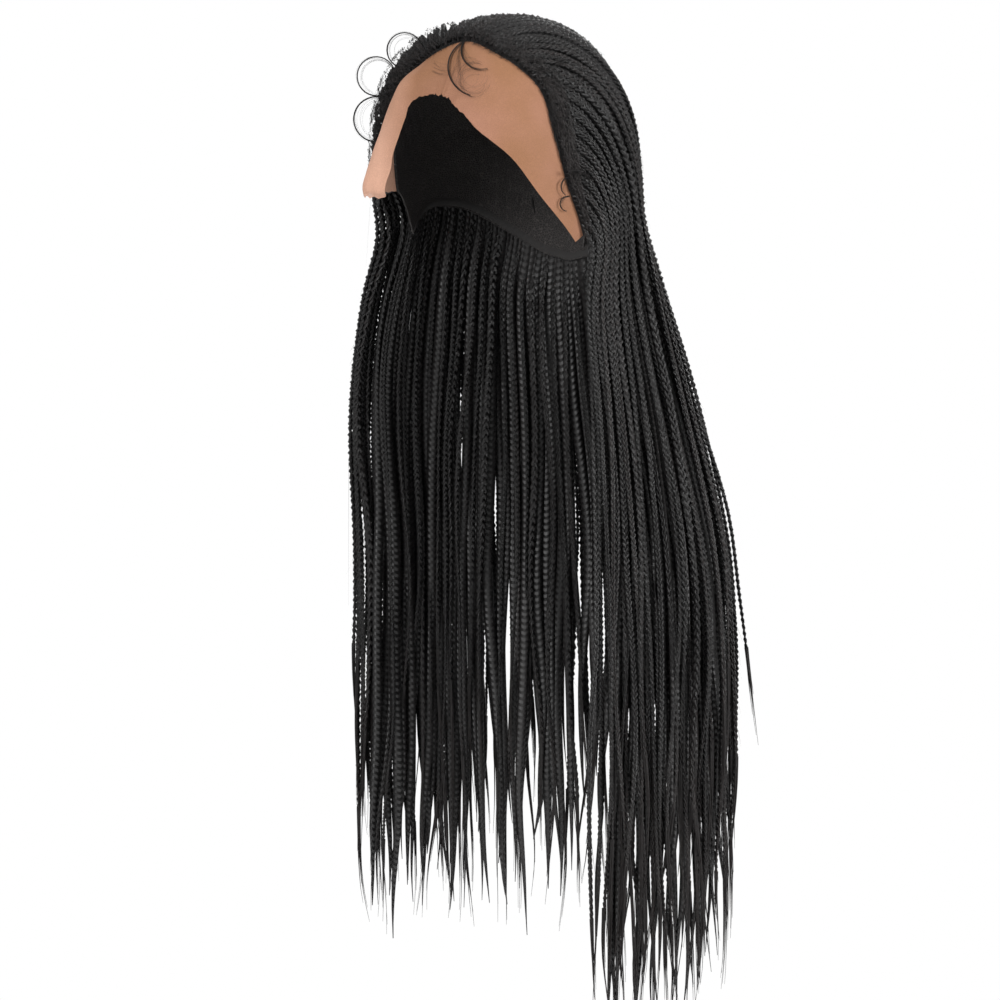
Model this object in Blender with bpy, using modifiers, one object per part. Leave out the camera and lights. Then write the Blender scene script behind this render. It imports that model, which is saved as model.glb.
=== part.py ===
"""Lace front braid wig, in the form that it has when it is worn.

Metres, +Z up. The origin is where the top of the head meets the inside of the cap, the face looks along -Y and the
wearer's left is +X. A share runs round the wig from the wearer's left sideburn (0) by the middle of the forehead, or
the middle of the back (0.5), to the right sideburn (1).
"""

import math
from collections import namedtuple

import bmesh
import bpy
from mathutils import Vector

# The head that the cap is made for: two halves of a squared ellipsoid that meet at its widest level
HEAD_HALF_WIDTH = 0.079
HEAD_HALF_DEPTH = 0.101
CROWN_HEIGHT = 0.105
NAPE_HEIGHT = 0.130
HEAD_SQUARENESS = 2.3

# Cloth walls, and the gap that pieces keep to each other
CAP_WALL = 0.0012
LACE_WALL = 0.0010
LACE_BULGE = 0.88
CROWN_GAP = 0.0007
EDGE_GAP = 0.0010
BAND_GAP = 0.0004
EDGE_SHARE = 0.0022

# Braids that lie on the cap: a ribbed layer, thin at the hairline
ROW_HEIGHT = 0.0085
ROW_VALLEY = 0.45
HAIRLINE_THINNING = 0.30
HAIRLINE_RISE = 0.35
ROWS = 30
CROWN_NODES = ("near_side", "near_top", "middle", "far_top", "far_side")

# How much higher braids heap up in some places, as shares of ROW_HEIGHT: behind the hairline, halfway, at the rim
Heap = namedtuple("Heap", "share front middle rim")
HEAPS = (
    Heap(0.00, 0.0, 0.2, 0.7),
    Heap(0.20, 0.0, -0.1, 0.8),
    Heap(0.35, 0.0, -0.4, 0.6),
    Heap(0.50, -0.2, -0.45, 0.2),
    Heap(0.65, 0.1, -0.25, 0.4),
    Heap(0.80, 0.9, 0.8, 1.0),
    Heap(0.90, 1.5, 1.5, 1.8),
    Heap(1.00, 1.6, 2.0, 2.6),
)
HEAP_STOPS = (0, 0.15, 0.5, 1)

# Hanging lengths: locks of braids under a sewn band at the foot of the cap
HAIR_DROP = 0.735
FALL_REACH = 0.175
BAND_HEIGHT = 0.016
BAND_DEPTH = 0.018
LOCK_GAP = 0.0022
LOCK_LARGEST = 0.0102
ROOT_SHARE = 0.5
TIP_RADIUS = 0.0011
TAPER_LENGTH = 0.17
FALL_NODES = 10
UNDER_LOCKS = 2
UNDER_START = 0.0135
UNDER_DEPTH = 0.0220
UNDER_SETTLES = 0.06
FAR_HAIRLINE = 0.95

# Mesh fineness
CAP_STEPS = 8
LACE_STEPS = 4
LOCK_STEPS = 10

# From sideburn to the middle: hairline, the line over the ears that a braid is drawn towards, and the cap's lower rim.
# Angles are in degrees, depths below the top of the head are shares of CROWN_HEIGHT.
Flow = namedtuple("Flow", "share hair_azimuth hair_depth over_tilt over_azimuth rim_azimuth rim_depth")
FLOWS = (
    Flow(0.000, 75.0, 1.457, 106.0, 75.5, 76.0, 1.540),
    Flow(0.030, 64.0, 1.114, 96.0, 78.0, 82.2, 1.460),
    Flow(0.060, 58.0, 0.819, 84.0, 80.0, 88.5, 1.375),
    Flow(0.100, 52.5, 0.505, 69.0, 82.0, 96.8, 1.305),
    Flow(0.165, 41.0, 0.343, 54.0, 87.0, 110.3, 1.290),
    Flow(0.230, 29.0, 0.257, 40.0, 92.0, 123.8, 1.335),
    Flow(0.330, 14.0, 0.186, 22.0, 92.0, 144.6, 1.495),
    Flow(0.420, 6.0, 0.166, 9.0, 92.0, 163.4, 1.630),
    Flow(0.500, 0.0, 0.162, 0.0, 90.0, 180.0, 1.680),
)

# Lower edge of the lace on the forehead and temples. Flare is how far it bulges off the head between its edges,
# as a share of HEAD_HALF_WIDTH.
LaceEdge = namedtuple("LaceEdge", "share azimuth depth flare")
LACE_EDGES = (
    LaceEdge(0.000, 70.5, 1.500, 0.000),
    LaceEdge(0.030, 52.0, 1.219, 0.000),
    LaceEdge(0.060, 37.0, 0.943, 0.000),
    LaceEdge(0.100, 21.0, 0.762, 0.000),
    LaceEdge(0.170, 12.0, 0.648, 0.000),
    LaceEdge(0.330, 2.0, 0.543, 0.000),
    LaceEdge(0.670, -8.0, 0.519, 0.000),
    LaceEdge(0.780, -17.0, 0.540, 0.070),
    LaceEdge(0.850, -22.0, 0.610, 0.140),
    LaceEdge(0.900, -25.0, 0.745, 0.135),
    LaceEdge(0.930, -31.0, 0.900, 0.145),
    LaceEdge(0.955, -36.0, 1.050, 0.200),
    LaceEdge(0.975, -40.0, 1.170, 0.265),
    LaceEdge(1.000, -44.0, 1.210, 0.275),
)

# Level sections through the hanging hair. Depths are shares of HAIR_DROP, azimuths are where the hair starts and ends,
# and the rest are the hair's outer distances from the head's axis, as shares of FALL_REACH.
Section = namedtuple(
    "Section", "depth near_azimuth far_azimuth near_front near_side near_back back far_back far_side far_front"
)
SECTIONS = (
    Section(0.272, 69.5, 278.0, 0.500, 0.640, 0.700, 0.610, 0.620, 0.660, 0.700),
    Section(0.408, 69.0, 266.0, 0.560, 0.775, 0.880, 0.720, 0.722, 0.846, 0.874),
    Section(0.544, 68.0, 262.0, 0.583, 0.885, 1.000, 0.800, 0.789, 0.914, 0.903),
    Section(0.748, 67.0, 262.0, 0.606, 0.905, 1.035, 0.817, 0.800, 0.914, 0.903),
    Section(1.000, 66.0, 264.0, 0.594, 0.870, 1.020, 0.800, 0.777, 0.869, 0.857),
)
STATIONS = ("near_front", "near_side", "near_back", "back", "far_back", "far_side", "far_front")

# How far down the tips reach round the wig, as shares of HAIR_DROP
Tips = namedtuple("Tips", "share depth")
TIPS = (
    Tips(0.00, 0.990),
    Tips(0.17, 0.975),
    Tips(0.25, 0.900),
    Tips(0.33, 0.845),
    Tips(0.50, 0.920),
    Tips(0.75, 0.945),
    Tips(1.00, 0.930),
)
TIP_SCATTER = 0.018


def smooth(knots, values, at):
    """The value at a place along rising knots, on a cubic through the given values."""
    at = min(max(at, knots[0]), knots[-1])
    last = len(knots) - 1
    i = min(sum(knot <= at for knot in knots[1:-1]), last - 1)
    span = knots[i + 1] - knots[i]

    def slope(k):
        before, after = max(k - 1, 0), min(k + 1, last)
        return (values[after] - values[before]) / (knots[after] - knots[before])

    s = (at - knots[i]) / span
    rise = values[i + 1] - values[i]
    start, end = slope(i) * span, slope(i + 1) * span
    return values[i] + s * (start + s * (3 * rise - 2 * start - end + s * (start + end - 2 * rise)))


def column(rows, name, at):
    return smooth([row[0] for row in rows], [getattr(row, name) for row in rows], at)


def level_ring(height):
    """How far the head's outline reaches at a height in unit space, from 0 to 1."""
    return max(1 - abs(height) ** HEAD_SQUARENESS, 0) ** (1 / HEAD_SQUARENESS)


def unit_place(azimuth, depth):
    """The place on the unit head for an azimuth in degrees and a depth in metres below the top."""
    below = CROWN_HEIGHT - depth
    height = below / (CROWN_HEIGHT if below > 0 else NAPE_HEIGHT)
    turn = math.radians(azimuth)
    ring = level_ring(height)
    return Vector((ring * math.sin(turn), -ring * math.cos(turn), height))


def on_head(direction, offset=0.0):
    """The point of the head's surface in that unit space direction, moved outwards along the surface's normal."""
    flat = math.hypot(direction.x, direction.y)
    size = (flat**HEAD_SQUARENESS + abs(direction.z) ** HEAD_SQUARENESS) ** (1 / HEAD_SQUARENESS)
    x, y, z = direction / size
    tall = CROWN_HEIGHT if z > 0 else NAPE_HEIGHT
    ring = max(math.hypot(x, y), 1e-9)
    steep = ring ** (HEAD_SQUARENESS - 2)
    normal = Vector(
        (
            steep * x / HEAD_HALF_WIDTH,
            steep * y / HEAD_HALF_DEPTH,
            math.copysign(abs(z) ** (HEAD_SQUARENESS - 1), z) / tall,
        )
    ).normalized()
    point = Vector((x * HEAD_HALF_WIDTH, y * HEAD_HALF_DEPTH, z * tall - CROWN_HEIGHT))
    return point + normal * offset


def flow_row(share):
    """The row of FLOWS for a share from 0 to 1, with the far half mirrored and its sideburn a little shorter."""
    side = 1 if share <= 0.5 else -1
    half = share if side > 0 else 0.5 - (share - 0.5) * FAR_HAIRLINE
    row = Flow(*(column(FLOWS, name, half) for name in Flow._fields))
    return side, row


def hairline_place(share):
    side, row = flow_row(share)
    return unit_place(side * row.hair_azimuth, row.hair_depth * CROWN_HEIGHT)


def rim_place(share):
    side, row = flow_row(share)
    return unit_place(side * row.rim_azimuth, row.rim_depth * CROWN_HEIGHT)


def crown_point(share, along, offset=0.0):
    """A point on a braid's way over the cap, from the hairline (along 0) to the cap's rim (along 1)."""
    side, row = flow_row(share)
    tilt = math.radians(row.over_tilt)
    turn = math.radians(side * row.over_azimuth)
    over = Vector((math.sin(tilt) * math.sin(turn), -math.sin(tilt) * math.cos(turn), math.cos(tilt)))
    back = 1 - along
    direction = hairline_place(share) * back**2 + over * (2 * along * back) + rim_place(share) * along**2
    return on_head(direction, offset)


def heap(share, along):
    """How much higher than elsewhere the braids lie at a place on the cap."""
    heights = [column(HEAPS, name, share) for name in ("front", "middle", "rim")]
    return ROW_HEIGHT * smooth(HEAP_STOPS, [0, *heights], along)


def rim_point(share):
    """Where the outer face of the braids on the cap ends, over its rim."""
    return crown_point(share, 1, CAP_WALL + CROWN_GAP + ROW_HEIGHT + heap(share, 1))


def fall_face(share, depth):
    """A point of the hanging hair's outer face at a depth below the top of the head."""
    start = rim_point(share)
    knots = [-start.z] + [section.depth * HAIR_DROP for section in SECTIONS]
    places = [start]
    for section in SECTIONS:
        turn = math.radians(smooth((0, 0.5, 1), (section.near_azimuth, 180, section.far_azimuth), share))
        stops = [i / (len(STATIONS) - 1) for i in range(len(STATIONS))]
        reach = FALL_REACH * smooth(stops, [getattr(section, name) for name in STATIONS], share)
        places.append(Vector((reach * math.sin(turn), -reach * math.cos(turn), 0)))
    x = smooth(knots, [place.x for place in places], depth)
    y = smooth(knots, [place.y for place in places], depth)
    return Vector((x, y, -depth))


def fall_top(share):
    """How deep the hanging hair starts: just under the rim of the braids on the cap."""
    return BAND_GAP - rim_point(share).z


def fall_point(share, depth, inset):
    """A point inside the hanging hair, and how wide a row of braids is there."""
    step, drop = 0.5 / ROWS, 0.002
    row = fall_face(share + step, depth) - fall_face(share - step, depth)
    way = (fall_face(share, depth + drop) - fall_face(share, depth)).normalized()
    inwards = row.cross(way)
    return fall_face(share, depth) + inwards.normalized() * inset, inwards.length


def principled(name, colour, roughness):
    material = bpy.data.materials.new(name)
    material.use_nodes = True
    shader = material.node_tree.nodes["Principled BSDF"]
    shader.inputs["Base Color"].default_value = (*colour, 1)
    shader.inputs["Roughness"].default_value = roughness
    shader.inputs["Metallic"].default_value = 0
    material.diffuse_color = (*colour, 1)
    return material


def sheet(name, across, along, place, material, home, outer_place=None):
    """A grid of across by along cells, bent into shape by place(across share, along share).

    With an outer_place it is a closed block, from the first shape out to the second.
    """
    mesh = bpy.data.meshes.new(name)
    grid = bmesh.new()
    bmesh.ops.create_grid(grid, x_segments=across, y_segments=along, size=0.5)
    outer = []
    if outer_place:
        grown = bmesh.ops.extrude_face_region(grid, geom=grid.faces[:], use_keep_orig=True)["geom"]
        outer = [part for part in grown if isinstance(part, bmesh.types.BMVert)]
    for vert in set(grid.verts).difference(outer):
        vert.co = place(vert.co.x + 0.5, vert.co.y + 0.5)
    for vert in outer:
        vert.co = outer_place(vert.co.x + 0.5, vert.co.y + 0.5)
    bmesh.ops.recalc_face_normals(grid, faces=grid.faces)
    middle = Vector((0, 0, -CROWN_HEIGHT))
    if not outer and sum((face.calc_center_median() - middle).dot(face.normal) for face in grid.faces) < 0:
        bmesh.ops.reverse_faces(grid, faces=grid.faces)
    grid.to_mesh(mesh)
    grid.free()
    mesh.materials.append(material)
    obj = bpy.data.objects.new(name, mesh)
    home.objects.link(obj)
    return obj


def thicken(obj, thickness):
    """Gives the sheet a wall on its outer side."""
    wall = obj.modifiers.new("wall", "SOLIDIFY")
    wall.thickness = thickness
    wall.offset = 1


def build_cap(material, home):
    """The net cap, from the hairline to the nape, that every braid is knotted to."""
    cap = sheet("wig_cap", ROWS, CAP_STEPS, crown_point, material, home)
    thicken(cap, CAP_WALL)
    return cap


def lace_point(share, down):
    """A point of the lace, from the hairline (down 0) to its free lower edge (down 1)."""
    edge = LaceEdge(*(column(LACE_EDGES, name, share) for name in LaceEdge._fields))
    top = hairline_place(share)
    foot = unit_place(edge.azimuth, edge.depth * CROWN_HEIGHT)
    start = EDGE_GAP / (on_head(foot) - on_head(top)).length
    down = start + down * (1 - start)
    return on_head(top.lerp(foot, down), edge.flare * HEAD_HALF_WIDTH * math.sin(LACE_BULGE * math.pi * down**1.4))


def build_lace(material, home):
    """The sheer lace in front of the hairline, with an ear tab at each end."""
    lace = sheet("lace_front", ROWS, LACE_STEPS, lace_point, material, home)
    thicken(lace, LACE_WALL)
    return lace


def build_crown(index, name, material, home):
    """Braid rows that lie side by side on the cap, in one piece: a ridge for each, over a layer that joins them."""
    rows = ROWS // len(CROWN_NODES)
    first, last = index / len(CROWN_NODES), (index + 1) / len(CROWN_NODES)
    first += EDGE_SHARE * (index > 0)
    last -= EDGE_SHARE * (index < len(CROWN_NODES) - 1)
    inside = CAP_WALL + CROWN_GAP

    def under_side(across, along):
        return crown_point(first + (last - first) * across, along, inside)

    def ridges(across, along):
        on_ridge = round(across * 2 * rows) % 2 == 1
        thin = HAIRLINE_THINNING + (1 - HAIRLINE_THINNING) * min(1, along / HAIRLINE_RISE)
        height = ROW_HEIGHT * thin * (1 if on_ridge else ROW_VALLEY)
        share = first + (last - first) * across
        return crown_point(share, along, inside + height + heap(share, along))

    return sheet("crown_braids_" + name, 2 * rows, CAP_STEPS, under_side, material, home, ridges)


def lock(name, share, start_inset, inset, material, helpers):
    """One tapered lock of braids, from inside its band down to its tip, as a mesh that is out of the render."""
    start = fall_top(share) + BAND_HEIGHT / 2
    scatter = TIP_SCATTER * math.sin(40.0 * share + 200 * inset)
    tip = min(HAIR_DROP * (column(TIPS, "depth", share) + scatter), HAIR_DROP)
    curve = bpy.data.curves.new(name, "CURVE")
    curve.dimensions = "3D"
    curve.bevel_depth = 1
    curve.bevel_resolution = 1
    curve.use_fill_caps = True
    spline = curve.splines.new("POLY")
    spline.points.add(LOCK_STEPS)
    for i, point in enumerate(spline.points):
        depth = start + (tip - start) * (i / LOCK_STEPS)
        layer = start_inset + (inset - start_inset) * min((depth - start) / UNDER_SETTLES, 1)
        room = fall_point(share, depth, layer)[1]
        body = min((room - LOCK_GAP) / 2, LOCK_LARGEST)
        left = min((tip - depth) / TAPER_LENGTH, 1) if i else ROOT_SHARE
        point.co = (*fall_point(share, depth, layer + body)[0], 1)
        point.radius = TIP_RADIUS + (body - TIP_RADIUS) * left
    tube = bpy.data.objects.new(name, curve)
    helpers.objects.link(tube)
    bpy.context.view_layer.update()
    mesh = bpy.data.meshes.new_from_object(tube.evaluated_get(bpy.context.evaluated_depsgraph_get()))
    bpy.data.objects.remove(tube)
    caps = bmesh.new()
    caps.from_mesh(mesh)
    bmesh.ops.remove_doubles(caps, verts=caps.verts, dist=1e-6)
    bmesh.ops.recalc_face_normals(caps, faces=caps.faces)
    caps.to_mesh(mesh)
    caps.free()
    mesh.materials.clear()
    mesh.materials.append(material)
    solid = bpy.data.objects.new(name, mesh)
    solid.hide_render = True
    solid.display_type = "WIRE"
    helpers.objects.link(solid)
    return solid


def build_fall(index, material, home, cutters):
    """A band with the locks that hang from it: outer ones in a row, and a second row inside."""
    rows = ROWS // FALL_NODES
    first, last = index / FALL_NODES, (index + 1) / FALL_NODES
    at_face = index in (0, FALL_NODES - 1)

    def band_face(inset):
        def place(across, along):
            share = first + EDGE_SHARE + (last - first - 2 * EDGE_SHARE) * across
            return fall_point(share, fall_top(share) + BAND_HEIGHT * along, inset)[0]

        return place

    helpers = bpy.data.collections.new(f"locks_{index:02d}")
    cutters.children.link(helpers)
    name = f"fall_{index + 1:02d}"
    inner_face = band_face(ROW_HEIGHT if at_face else BAND_DEPTH)
    band = sheet(name, 2 * rows, 1, inner_face, material, home, band_face(0))
    for i in range(rows):
        lock(f"{name}_outer_{i}", first + (i + 0.5) / ROWS, 0.0, 0.0, material, helpers)
    for i in range(0 if at_face else UNDER_LOCKS):
        share = first + (last - first) * (i + 0.5) / UNDER_LOCKS
        lock(f"{name}_under_{i}", share, UNDER_START, UNDER_DEPTH, material, helpers)
    join = band.modifiers.new("join", "BOOLEAN")
    join.operation = "UNION"
    join.operand_type = "COLLECTION"
    join.collection = helpers
    return band


def main():
    for obj in list(bpy.data.objects):
        bpy.data.objects.remove(obj)
    home = bpy.data.collections.new("braid_wig")
    cutters = bpy.data.collections.new("lock_shapes")
    bpy.context.scene.collection.children.link(home)
    bpy.context.scene.collection.children.link(cutters)
    hair = principled("braided_hair", (0.022, 0.019, 0.018), 0.45)
    net = principled("cap_net", (0.03, 0.025, 0.022), 0.9)
    lace = principled("lace", (0.50, 0.27, 0.17), 0.8)
    build_cap(net, home)
    build_lace(lace, home)
    for index, name in enumerate(CROWN_NODES):
        build_crown(index, name, hair, home)
    for index in range(FALL_NODES):
        build_fall(index, hair, home, cutters)


main()
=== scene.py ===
from collections import namedtuple

import bpy
import numpy as np
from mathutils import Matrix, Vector


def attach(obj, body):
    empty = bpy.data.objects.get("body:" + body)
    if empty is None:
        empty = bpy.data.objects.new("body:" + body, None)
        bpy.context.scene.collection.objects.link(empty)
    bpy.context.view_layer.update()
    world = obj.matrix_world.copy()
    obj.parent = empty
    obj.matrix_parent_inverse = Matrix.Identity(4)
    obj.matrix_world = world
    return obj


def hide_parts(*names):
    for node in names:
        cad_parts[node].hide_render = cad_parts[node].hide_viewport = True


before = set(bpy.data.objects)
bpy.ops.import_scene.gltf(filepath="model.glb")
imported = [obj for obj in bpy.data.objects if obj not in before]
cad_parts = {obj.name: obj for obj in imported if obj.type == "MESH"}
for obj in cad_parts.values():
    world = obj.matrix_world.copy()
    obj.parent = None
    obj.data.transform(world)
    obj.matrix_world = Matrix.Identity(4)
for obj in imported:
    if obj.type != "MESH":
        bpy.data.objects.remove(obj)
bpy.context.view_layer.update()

# Camera and room. The wig hangs in the air as it does when worn, over a plain pale floor and in soft light
# from both sides. The camera stands at the level of the hairline, turned towards the wig's left side.

CAMERA_TURN = np.radians(30)
CAMERA_AWAY = 2.1
CAMERA_RISE = 0.26
LENS = 0.10294
SENSOR_MM = 36
AIM_RIGHT = -0.008
AIM_UP = -0.350
LIGHTS_AIM = (0, 0, -0.25)
view_right = np.array([np.cos(CAMERA_TURN), np.sin(CAMERA_TURN), 0])
view_back = np.array([np.sin(CAMERA_TURN), -np.cos(CAMERA_TURN), 0])
aim = view_right * AIM_RIGHT + np.array([0, 0, AIM_UP])


def look_at(obj, target):
    obj.rotation_mode = "QUATERNION"
    obj.rotation_quaternion = (Vector(target) - obj.location).to_track_quat("-Z", "Y")


camera = bpy.data.objects.new("camera", bpy.data.cameras.new("camera"))
camera.location = aim + view_back * CAMERA_AWAY + np.array([0, 0, CAMERA_RISE])
camera.data.lens = LENS * 1000
camera.data.sensor_width = SENSOR_MM
bpy.context.collection.objects.link(camera)
look_at(camera, aim)
bpy.context.scene.camera = camera
bpy.context.scene.view_settings.view_transform = "Standard"

# Softboxes: name, place by how far right, towards the camera and up, width, power
SOFTBOXES = (
    ("key_light", -1.0, 1.9, 0.7, 0.7, 44),
    ("side_light", 1.7, 0.9, 0.3, 0.6, 32),
    ("top_light", 0.2, -0.2, 1.7, 1.4, 9),
    ("rim_light", 0.9, -1.6, 0.6, 0.8, 10),
)
for name, right, back, up, width, power in SOFTBOXES:
    light = bpy.data.lights.new(name, "AREA")
    light.shape = "SQUARE"
    light.size = width
    light.energy = power
    lamp = bpy.data.objects.new(name, light)
    lamp.location = view_right * right + view_back * back + np.array([0, 0, up])
    bpy.context.collection.objects.link(lamp)
    look_at(lamp, LIGHTS_AIM)
ROOM_LIGHT = 0.35
world = bpy.data.worlds.new("white_room")
bpy.context.scene.world = world
world.use_nodes = True
backdrop = world.node_tree.nodes["Background"]
backdrop.inputs["Color"].default_value = (1, 1, 1, 1)
seen_white = world.node_tree.nodes.new("ShaderNodeMath")
seen_white.operation = "MAXIMUM"
seen_white.inputs[1].default_value = ROOM_LIGHT
rays = world.node_tree.nodes.new("ShaderNodeLightPath")
world.node_tree.links.new(rays.outputs["Is Camera Ray"], seen_white.inputs[0])
world.node_tree.links.new(seen_white.outputs[0], backdrop.inputs["Strength"])


class Value:
    """One output of a shader's node tree, which can be used in Python arithmetic."""

    def __init__(self, tree, socket):
        self.tree = tree
        self.socket = socket

    def maths(self, operation, *others):
        return self.tree.node("ShaderNodeMath", {"operation": operation}, [self, *others])

    def __add__(self, other):
        return self.maths("ADD", other)

    def __sub__(self, other):
        return self.maths("SUBTRACT", other)

    def __rsub__(self, other):
        return self.maths("MULTIPLY", -1).maths("ADD", other)

    def __mul__(self, other):
        return self.maths("MULTIPLY", other)

    def clipped(self, low, high):
        """0 up to low, 1 from high on."""
        limits = {"From Min": low, "From Max": high}
        return self.tree.node("ShaderNodeMapRange", {"clamp": True}, {"Value": self, **limits})

    __radd__ = __add__
    __rmul__ = __mul__


class Finish:
    """A material with one Principled shader, and the one way in which its other nodes are added."""

    def __init__(self, name, **constants):
        self.material = bpy.data.materials.new(name)
        self.material.use_nodes = True
        self.nodes = self.material.node_tree.nodes
        self.links = self.material.node_tree.links
        self.shader = self.nodes["Principled BSDF"]
        for socket, value in constants.items():
            self.shader.inputs[socket.replace("_", " ")].default_value = value

    def node(self, kind, settings, sockets, output=0):
        """Adds a node. Settings come first, then sockets by name or number, as numbers or values to link."""
        node = self.nodes.new(kind)
        for setting, value in settings.items():
            setattr(node, setting, value)
        for key, value in sockets.items() if isinstance(sockets, dict) else enumerate(sockets):
            self.feed(node.inputs[key], value)
        return Value(self, node.outputs[output])

    def feed(self, socket, value):
        if isinstance(value, Value):
            self.links.new(value.socket, socket)
        else:
            socket.default_value = value

    def blend(self, share, first, second):
        """A colour between two, by a share from 0 to 1."""
        colours = {"Factor": share, "A": first, "B": second}
        node = self.nodes.new("ShaderNodeMix")
        node.data_type = "RGBA"
        for socket in node.inputs:
            if socket.name in colours and socket.enabled:
                self.feed(socket, colours[socket.name])
        return Value(self, next(socket for socket in node.outputs if socket.enabled))

    def paint(self, **channels):
        for socket, value in channels.items():
            self.feed(self.shader.inputs[socket.replace("_", " ")], value)

    def bump(self, height, depth, strength=1.0):
        sockets = {"Height": height, "Distance": depth, "Strength": strength}
        self.paint(Normal=self.node("ShaderNodeBump", {}, sockets))


# Floor. A round sheet of plain white paper, a good way below the wig, that gives back some light from below.

FLOOR_DROP = 1.05
FLOOR_RADIUS = 1.0
FLOOR_SIDES = 96
PAPER_GLOW = 0.45
PAPER_GREY = (0.84, 0.84, 0.84, 1)
PAPER_WHITE = (0.87, 0.87, 0.87, 1)
paper = Finish("white_floor", Roughness=0.9, Emission_Strength=PAPER_GLOW)
grain = paper.node("ShaderNodeTexNoise", {}, {"Scale": 3.0, "Detail": 2.0})
paper.paint(Base_Color=paper.blend(grain, PAPER_GREY, PAPER_WHITE))
paper.paint(Emission_Color=(1, 1, 1, 1))
round_edge = np.linspace(0, 2 * np.pi, FLOOR_SIDES, endpoint=False)
edge_points = np.stack([np.cos(round_edge), np.sin(round_edge), 0 * round_edge], 1) * FLOOR_RADIUS
floor_mesh = bpy.data.meshes.new("floor")
floor_mesh.from_pydata(edge_points.tolist(), [], [tuple(range(FLOOR_SIDES))])
floor_mesh.materials.append(paper.material)
floor = bpy.data.objects.new("floor", floor_mesh)
floor.location = (0, 0, -FLOOR_DROP)
bpy.context.collection.objects.link(floor)

# Cap. A soft black net sewn to a rounded shape, edged with a narrow elastic tape along the hairline and the
# nape. Every plait is knotted into it, and nothing else holds the hair.

HEAD_HALF_WIDTH = 0.079
HEAD_HALF_DEPTH = 0.101
CROWN_HEIGHT = 0.105
NAPE_HEIGHT = 0.130
HEAD_SQUARENESS = 2.3
CAP_WALL = 0.0012
CROWN_GAP = 0.0007
FAR_HAIRLINE = 0.95

# How hair runs on the cap at each share of the way round, from the left sideburn (0) to the middle (0.5).
# A plait starts at the hairline, is drawn towards the line over the ears, and leaves the cap at its rim.
# Azimuths and tilts in degrees, depths below the cap's top in CROWN_HEIGHTs.
Flow = namedtuple("Flow", "share hair_azimuth hair_depth over_tilt over_azimuth rim_azimuth rim_depth")
FLOWS = (
    Flow(0.000, 75.0, 1.457, 106.0, 75.5, 76.0, 1.540),
    Flow(0.030, 64.0, 1.114, 96.0, 78.0, 82.2, 1.460),
    Flow(0.060, 58.0, 0.819, 84.0, 80.0, 88.5, 1.375),
    Flow(0.100, 52.5, 0.505, 69.0, 82.0, 96.8, 1.305),
    Flow(0.165, 41.0, 0.343, 54.0, 87.0, 110.3, 1.290),
    Flow(0.230, 29.0, 0.257, 40.0, 92.0, 123.8, 1.335),
    Flow(0.330, 14.0, 0.186, 22.0, 92.0, 144.6, 1.495),
    Flow(0.420, 6.0, 0.166, 9.0, 92.0, 163.4, 1.630),
    Flow(0.500, 0.0, 0.162, 0.0, 90.0, 180.0, 1.680),
)


def smooth(knots, values, at):
    """Values at places along rising knots, on cubics through the given values."""
    knots, values = np.asarray(knots, float), np.asarray(values, float)
    at = np.clip(at, knots[0], knots[-1])
    i = np.clip(np.searchsorted(knots, at, side="right") - 1, 0, len(knots) - 2)
    slopes = np.empty_like(values)
    slopes[1:-1] = (values[2:] - values[:-2]) / (knots[2:] - knots[:-2])
    slopes[0] = (values[1] - values[0]) / (knots[1] - knots[0])
    slopes[-1] = (values[-1] - values[-2]) / (knots[-1] - knots[-2])
    span = knots[i + 1] - knots[i]
    s = (at - knots[i]) / span
    rise = values[i + 1] - values[i]
    start, end = slopes[i] * span, slopes[i + 1] * span
    return values[i] + s * (start + s * (3 * rise - 2 * start - end + s * (start + end - 2 * rise)))


def column(rows, name, at):
    return smooth([row[0] for row in rows], [getattr(row, name) for row in rows], at)


def unit_place(azimuth, depth):
    """Places on the cap's form at unit size, for azimuths in degrees and depths in metres below its top."""
    below = CROWN_HEIGHT - depth
    height = below / np.where(below > 0, CROWN_HEIGHT, NAPE_HEIGHT)
    ring = np.maximum(1 - np.abs(height) ** HEAD_SQUARENESS, 0) ** (1 / HEAD_SQUARENESS)
    turn = np.radians(azimuth)
    return np.stack([ring * np.sin(turn), -ring * np.cos(turn), height], -1)


def on_head(direction, offset=0.0):
    """Points of the cap's form in the given directions, moved out along its normals, and the normals."""
    flat = np.hypot(direction[..., 0], direction[..., 1])
    size = (flat**HEAD_SQUARENESS + np.abs(direction[..., 2]) ** HEAD_SQUARENESS) ** (1 / HEAD_SQUARENESS)
    unit = direction / size[..., None]
    tall = np.where(unit[..., 2] > 0, CROWN_HEIGHT, NAPE_HEIGHT)
    steep = np.maximum(flat / size, 1e-9) ** (HEAD_SQUARENESS - 2)
    lean = np.sign(unit[..., 2]) * np.abs(unit[..., 2]) ** (HEAD_SQUARENESS - 1) / tall
    slopes = [steep * unit[..., 0] / HEAD_HALF_WIDTH, steep * unit[..., 1] / HEAD_HALF_DEPTH, lean]
    normal = np.stack(slopes, -1)
    normal /= np.linalg.norm(normal, axis=-1, keepdims=True)
    height = unit[..., 2] * tall - CROWN_HEIGHT
    axes = [unit[..., 0] * HEAD_HALF_WIDTH, unit[..., 1] * HEAD_HALF_DEPTH, height]
    return np.stack(axes, -1) + normal * np.asarray(offset)[..., None], normal


def flow_row(share):
    """Which side each share is on, and its row of FLOWS. The far half mirrors the near one."""
    side = np.where(share <= 0.5, 1, -1)
    half = np.where(share <= 0.5, share, 0.5 - (share - 0.5) * FAR_HAIRLINE)
    return side, Flow(*(column(FLOWS, name, half) for name in Flow._fields))


def hairline_place(share):
    side, row = flow_row(share)
    return unit_place(side * row.hair_azimuth, row.hair_depth * CROWN_HEIGHT)


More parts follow.
